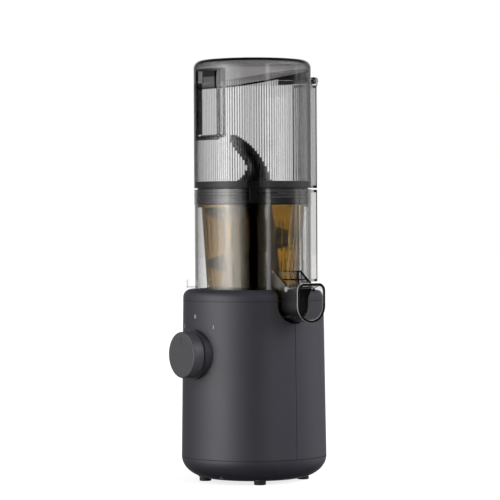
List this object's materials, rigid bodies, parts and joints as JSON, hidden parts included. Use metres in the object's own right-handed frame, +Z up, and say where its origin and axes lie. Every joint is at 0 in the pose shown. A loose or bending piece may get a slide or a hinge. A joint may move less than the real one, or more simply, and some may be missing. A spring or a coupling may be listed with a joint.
{
  "type": "cold press juicer",
  "caption": "Upright slow juicer: motor base with control knob, clear chamber with spout, strainer and auger, ribbed hopper and hinged lid.",
  "frame": {"origin": "on the ground under the middle of the whole object's box", "axes": "+Z up along the machine axis, +X towards the juice spout, -Y towards the control knob, +Y towards the lid's hinge"},
  "size_m": [0.1866, 0.1806, 0.464],
  "materials": {
    "casing": "fine matte texture",
    "knob_plastic": "satin",
    "smoked_clear": "clear smoked, polished",
    "clear": "clear, polished",
    "amber": "translucent amber",
    "auger_plastic": "satin",
    "dark_trim": "satin",
    "silicone_dark": "matte",
    "silicone_red": "matte",
    "rubber_black": "matte",
    "steel": "machined",
    "rod_plastic": "satin",
    "laminations": "stacked sheet steel",
    "copper": "varnished wire",
    "die_cast": "die cast",
    "bronze": "sintered",
    "nylon": "satin",
    "board": "lacquered",
    "component": "moulded"
  },
  "bodies": {
    "base": {"base_cap": "casing", "front_shell": "casing", "rear_shell": "casing", "top_cover": "casing", "feet": "rubber_black", "case_screws": "steel", "knob_ring": "casing", "selector_switch": "component", "switch_nut": "steel", "motor_lower_bracket": "die_cast", "motor_upper_bracket": "die_cast", "motor_bearings": "steel", "motor_mounts": "rubber_black", "motor_stator": "laminations", "motor_windings": "copper", "gear_pin": "steel", "output_bushes": "bronze", "shaft_seal": "silicone_dark", "gearbox_housing": "nylon", "gearbox_cover": "nylon", "gearbox_screws": "steel", "control_board": "board", "board_parts": "component", "cord_gland": "rubber_black", "safety_switch": "component"},
    "knob": {"knob": "knob_plastic", "knob_spindle": "nylon"},
    "rotor": {"motor_rotor": "laminations", "motor_shaft": "steel", "cooling_fan": "nylon", "motor_pinion": "steel"},
    "intermediate": {"compound_gear": "steel"},
    "output": {"output_gear": "steel", "output_shaft": "steel"},
    "plunger": {"switch_plunger": "rod_plastic"},
    "chamber": {"chamber": "clear", "chamber_packing": "silicone_dark", "residue_plug": "silicone_dark", "flap_pin": "steel", "chamber_rod_spring": "steel"},
    "chamber_rod": {"chamber_rod": "rod_plastic"},
    "flap": {"spout_flap": "dark_trim", "flap_seal": "silicone_red"},
    "strainer": {"strainer": "amber"},
    "auger": {"auger": "auger_plastic", "auger_socket": "steel", "auger_wing": "auger_plastic"},
    "hopper": {"hopper": "smoked_clear", "hopper_ring": "dark_trim", "hinge_pin": "steel", "hopper_rod_spring": "steel"},
    "hopper_rod": {"hopper_rod": "rod_plastic"},
    "lid": {"lid": "smoked_clear", "lid_floor": "smoked_clear", "lid_tab": "smoked_clear", "hinge_strip": "dark_trim"}
  },
  "joints": [
    {"name": "knob_turn", "type": "hinge", "parent": "base", "child": "knob", "pos_m": [-0.0137, -0.09025, 0.1407], "axis": [0, -1, 0], "range_deg": [-43, 43]},
    {"name": "intermediate_spin", "type": "hinge", "parent": "base", "child": "intermediate", "pos_m": [-0.0137, 0.03935, 0.0965], "axis": [0, 0, 1], "continuous": true},
    {"name": "rotor_spin", "type": "hinge", "parent": "base", "child": "rotor", "pos_m": [-0.0137, 0.00575, 0.04], "axis": [0, 0, 1], "continuous": true},
    {"name": "output_spin", "type": "hinge", "parent": "base", "child": "output", "pos_m": [-0.0137, 0.00575, 0.178], "axis": [0, 0, 1], "continuous": true},
    {"name": "plunger_slide", "type": "slide", "parent": "base", "child": "plunger", "axis": [0, 0, 1], "range_m": [0, 0.003], "stiffness_N_per_m": 100, "springref_m": 0.006},
    {"name": "chamber_lift", "type": "slide", "parent": "base", "child": "chamber", "axis": [0, 0, 1], "range_m": [0, 0.12]},
    {"name": "chamber_rod_slide", "type": "slide", "parent": "chamber", "child": "chamber_rod", "axis": [0, 0, 1], "range_m": [0, 0.003], "stiffness_N_per_m": 100, "springref_m": 0.006, "deforming": ["chamber_rod_spring"]},
    {"name": "flap_hinge", "type": "hinge", "parent": "chamber", "child": "flap", "pos_m": [0.0733, 0.00575, 0.2116], "axis": [0, -1, 0], "range_deg": [0, 70]},
    {"name": "strainer_lift", "type": "slide", "parent": "chamber", "child": "strainer", "axis": [0, 0, 1], "range_m": [0, 0.15]},
    {"name": "auger_spin", "type": "hinge", "parent": "strainer", "child": "auger", "pos_m": [-0.0137, 0.00575, 0.186], "axis": [0, 0, 1], "continuous": true},
    {"name": "hopper_lift", "type": "slide", "parent": "chamber", "child": "hopper", "axis": [0, 0, 1], "range_m": [0, 0.3]},
    {"name": "hopper_rod_slide", "type": "slide", "parent": "hopper", "child": "hopper_rod", "axis": [0, 0, 1], "range_m": [0, 0.003], "stiffness_N_per_m": 100, "springref_m": 0.006, "deforming": ["hopper_rod_spring"]},
    {"name": "lid_hinge", "type": "hinge", "parent": "hopper", "child": "lid", "pos_m": [-0.0137, 0.08605, 0.441], "axis": [-1, 0, 0], "range_deg": [0, 100]}
  ],
  "couplings": [
    {"joint": "rotor_spin", "follows": "intermediate_spin", "ratio": -5},
    {"joint": "output_spin", "follows": "intermediate_spin", "ratio": -0.2},
    {"joint": "auger_spin", "follows": "intermediate_spin", "ratio": -0.2},
    {"joint": "strainer_lift", "follows": "hopper_lift", "ratio": 0.5},
    {"joint": "plunger_slide", "follows": "lid_hinge", "m_per_rad": 0.0017},
    {"joint": "chamber_rod_slide", "follows": "lid_hinge", "m_per_rad": 0.0017},
    {"joint": "hopper_rod_slide", "follows": "lid_hinge", "m_per_rad": 0.0017}
  ]
}
